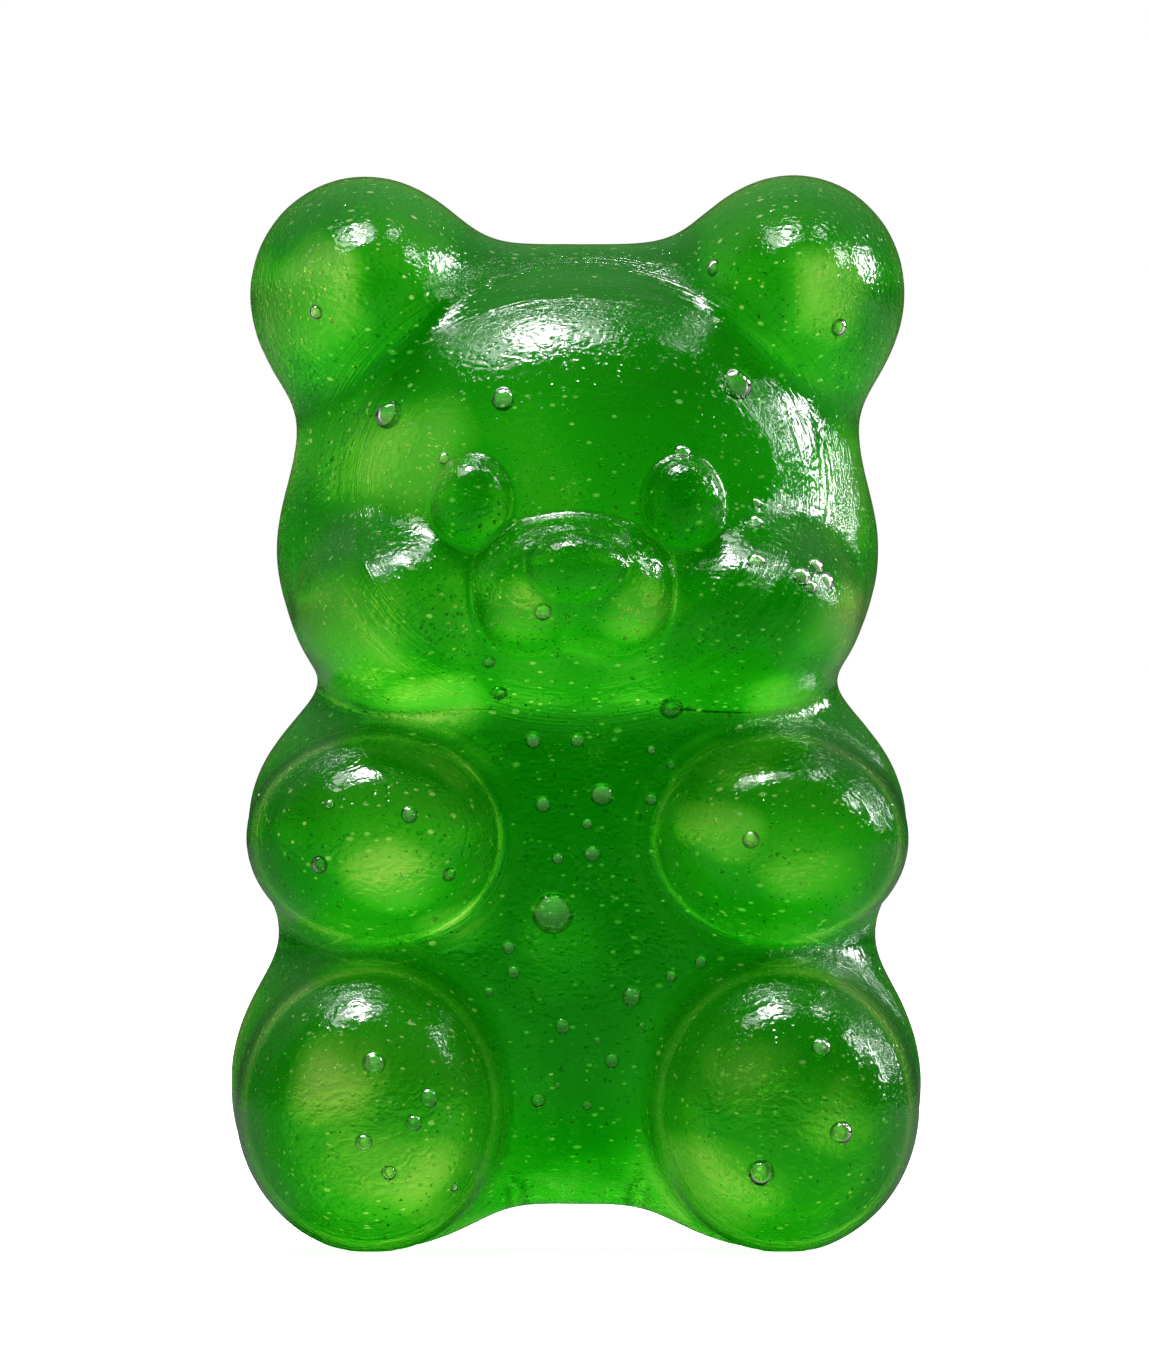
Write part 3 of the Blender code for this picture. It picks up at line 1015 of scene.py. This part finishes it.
class GUMMY_OT_flecks(bpy.types.Operator):
    """Scatter pale sugar flecks under the whole skin"""

    bl_idname = "gummy.flecks"
    bl_label = "Sugar Flecks"
    bl_options = {"REGISTER", "UNDO"}

    def execute(self, context):
        """Build every fleck in one mesh."""
        flecks = context.scene.gummy_flecks
        chance = np.random.default_rng(flecks.seed)
        skin = bpy.data.objects["jelly_bear"].data
        points = points_of(skin)
        normals = np.array([vertex.normal for vertex in skin.vertices])
        chosen = chance.choice(len(points), flecks.count)
        deep = flecks.size + flecks.depth * chance.random(flecks.count) ** FLECK_SHALLOWNESS
        middles = points[chosen] - normals[chosen] * deep[:, None]
        inside = distance_to_bear(from_bear_frame(middles)) * MM < -flecks.size
        middles, outwards = middles[inside], normals[chosen][inside]
        count = len(middles)
        along = np.cross(outwards, chance.normal(0.0, 1.0, (count, 3)))
        along /= np.linalg.norm(along, axis=1)[:, None]
        aside = np.cross(outwards, along)
        sizes = flecks.size * chance.lognormal(*FLECK_SPREAD, count)[:, None]
        thin = chance.uniform(*FLECK_THICKNESS, count)[:, None]
        bend = aside * sizes * chance.uniform(*FLECK_BEND, count)[:, None]
        shapes = np.stack(
            [
                along * sizes + bend, -along * sizes + bend, aside * sizes * thin,
                -aside * sizes * thin, outwards * sizes * thin, -outwards * sizes * thin,
            ],
            axis=1,
        )
        faces = np.array(
            [(0, 2, 4), (2, 1, 4), (1, 3, 4), (3, 0, 4), (2, 0, 5), (1, 2, 5), (3, 1, 5), (0, 3, 5)]
        )
        all_points = (shapes + middles[:, None, :]).reshape(-1, 3)
        all_faces = (faces[None] + 6 * np.arange(count)[:, None, None]).reshape(-1, 3)
        mesh = bpy.data.meshes.new("sugar_flecks")
        mesh.from_pydata(all_points.tolist(), [], all_faces.tolist())
        new_piece("sugar_flecks", mesh, fleck_material(flecks))
        return {"FINISHED"}


def soft_light(name, direction, distance, size, power, through_jelly):
    """A soft light that looks at the middle of the bear, and may be seen through the jelly."""
    middle = (BEAR_LOW + BEAR_HIGH) / 2
    direction = Vector(direction).normalized()
    light = bpy.data.lights.new(name, "AREA")
    light.shape = "RECTANGLE"
    light.size, light.size_y = size
    light.energy = power
    lamp = bpy.data.objects.new(name, light)
    lamp.location = middle + direction * distance
    lamp.rotation_euler = direction.to_track_quat("Z", "Y").to_euler()
    lamp.visible_camera = False
    lamp.visible_transmission = through_jelly
    bpy.context.scene.collection.objects.link(lamp)


def studio_world():
    """White for the camera; a soft glow above and behind the bear, and dim in front of it."""
    world = bpy.data.worlds.new("studio")
    world.use_nodes = True
    tree = world.node_tree
    tree.nodes.clear()
    direction = add_node(tree, "TexCoord").outputs["Generated"]
    parts = add_node(tree, "SeparateXYZ", {0: direction})
    seen = add_node(tree, "LightPath").outputs
    backwards, upwards = parts.outputs["Y"], parts.outputs["Z"]
    sideways = math_node(tree, "ABSOLUTE", parts.outputs["X"])
    behind = smooth_share(tree, backwards, start=-0.3, end=0.5, low=0.015, high=0.03)
    high = smooth_share(tree, upwards, start=0.1, end=0.7, low=0.0, high=0.2)
    high = math_node(tree, "MULTIPLY", high, smooth_share(tree, backwards, start=0.0, end=0.5))
    reflected = math_node(tree, "ADD", behind, high)
    through = math_node(
        tree, "MULTIPLY",
        smooth_share(tree, upwards, start=-0.1, end=0.9, low=1.4, high=2.8),
        smooth_share(tree, sideways, start=0.1, end=0.8, low=1.0, high=0.5),
    )
    brightness = add_node(
        tree, "Mix", {"Factor": seen["Is Transmission Ray"], 2: reflected, 3: through}
    ).outputs[0]
    strength = add_node(
        tree, "Mix", {"Factor": seen["Is Camera Ray"], 2: brightness, 3: 1.0}
    ).outputs[0]
    background = add_node(tree, "Background", {"Color": (1, 1, 1, 1), "Strength": strength})
    output = add_node(tree, "OutputWorld")
    tree.links.new(background.outputs[0], output.inputs["Surface"])
    bpy.context.scene.world = world


def floor_material(floor_colour):
    """Plain pale floor, bright to the camera and modest in what it throws on the bear."""
    material, tree = new_material("pale_floor")
    speckle = add_node(tree, "TexNoise", {"Scale": 40.0}).outputs["Fac"]
    darker = [channel * FLOOR_SPECKLE for channel in floor_colour]
    tone = ramp_node(tree, speckle, [(0.0, darker), (1.0, floor_colour)])
    path = add_node(tree, "LightPath").outputs
    reach = length_of(tree, add_node(tree, "TexCoord").outputs["Object"])
    far = smooth_share(tree, reach, start=0.0, end=0.2, low=0.55, high=1.3)
    seen = path["Is Camera Ray"]
    dim = (0.04, 0.04, 0.04, 1.0)
    shine = math_node(
        tree, "ADD", math_node(tree, "MULTIPLY", seen, FLOOR_SHINE),
        math_node(tree, "MULTIPLY", path["Is Transmission Ray"], far),
    )
    surface = add_node(
        tree, "BsdfPrincipled",
        {
            "Base Color": add_node(
                tree, "Mix", {"Factor": seen, 6: dim, 7: tone}, data_type="RGBA"
            ).outputs[2],
            "Roughness": 0.8,
            "Emission Color": (1, 1, 1, 1),
            "Emission Strength": shine,
        },
    )
    output = add_node(tree, "OutputMaterial")
    tree.links.new(surface.outputs[0], output.inputs["Surface"])
    return material


class GUMMY_OT_studio(bpy.types.Operator):
    """Set up the camera, the pale floor and the soft lights"""

    bl_idname = "gummy.studio"
    bl_label = "Studio"
    bl_options = {"REGISTER", "UNDO"}

    def execute(self, context):
        """Build the studio round the bear."""
        studio = context.scene.gummy_studio
        disc = bmesh.new()
        bmesh.ops.create_circle(disc, cap_ends=True, segments=96, radius=FLOOR_RADIUS)
        mesh = bpy.data.meshes.new("floor")
        disc.to_mesh(mesh)
        disc.free()
        mesh.materials.append(floor_material(studio.floor_colour))
        floor = bpy.data.objects.new("floor", mesh)
        floor.location = (0, 0, BEAR_LOW.z)
        context.scene.collection.objects.link(floor)

        for *light, share in MAIN_LIGHTS:
            soft_light(*light, share * studio.main_light, through_jelly=True)
        for *light, share in SIDE_LIGHTS:
            soft_light(*light, share * studio.side_light, through_jelly=False)
        studio_world()
        context.scene.view_settings.view_transform = "Standard"

        camera = bpy.data.cameras.new("camera")
        camera.lens = studio.lens
        camera.clip_start = 0.01
        eye = bpy.data.objects.new("camera", camera)
        distance = camera.lens / camera.sensor_width * studio.view_height
        eye.location = (CAMERA_X, VIEW_PLANE_Y - distance, CAMERA_UP)
        eye.rotation_euler = (math.radians(90), 0, 0)
        context.scene.collection.objects.link(eye)
        context.scene.camera = eye
        return {"FINISHED"}


class GUMMY_PT_panel(bpy.types.Panel):
    """Every piece of the gummy bear, with its settings"""

    bl_idname = "GUMMY_PT_panel"
    bl_label = "Gummy Bear"
    bl_space_type = "VIEW_3D"
    bl_region_type = "UI"
    bl_category = "Gummy Bear"

    def draw(self, context):
        """List each operator with the settings it uses."""
        rows = [
            (GUMMY_OT_jelly, context.scene.gummy_jelly),
            (GUMMY_OT_bubbles, context.scene.gummy_bubbles),
            (GUMMY_OT_flecks, context.scene.gummy_flecks),
            (GUMMY_OT_studio, context.scene.gummy_studio),
        ]
        for operator, settings in rows:
            box = self.layout.box()
            for name in settings.__annotations__:
                box.prop(settings, name)
            box.operator(operator.bl_idname)


SETTINGS = {
    "gummy_jelly": GummyJellySettings,
    "gummy_bubbles": GummyBubbleSettings,
    "gummy_flecks": GummyFleckSettings,
    "gummy_studio": GummyStudioSettings,
}
CLASSES = [
    *SETTINGS.values(),
    GUMMY_OT_jelly,
    GUMMY_OT_bubbles,
    GUMMY_OT_flecks,
    GUMMY_OT_studio,
    GUMMY_PT_panel,
]


def register():
    """Add the classes and the settings to Blender."""
    for item in CLASSES:
        bpy.utils.register_class(item)
    for name, group in SETTINGS.items():
        setattr(bpy.types.Scene, name, PointerProperty(type=group))


def unregister():
    """Take the classes and the settings out of Blender."""
    for name in SETTINGS:
        delattr(bpy.types.Scene, name)
    for item in reversed(CLASSES):
        bpy.utils.unregister_class(item)


def main():
    """Make every piece."""
    register()
    bpy.ops.gummy.jelly()
    bpy.ops.gummy.bubbles()
    bpy.ops.gummy.flecks()
    bpy.ops.gummy.studio()


if __name__ == "__main__":
    main()
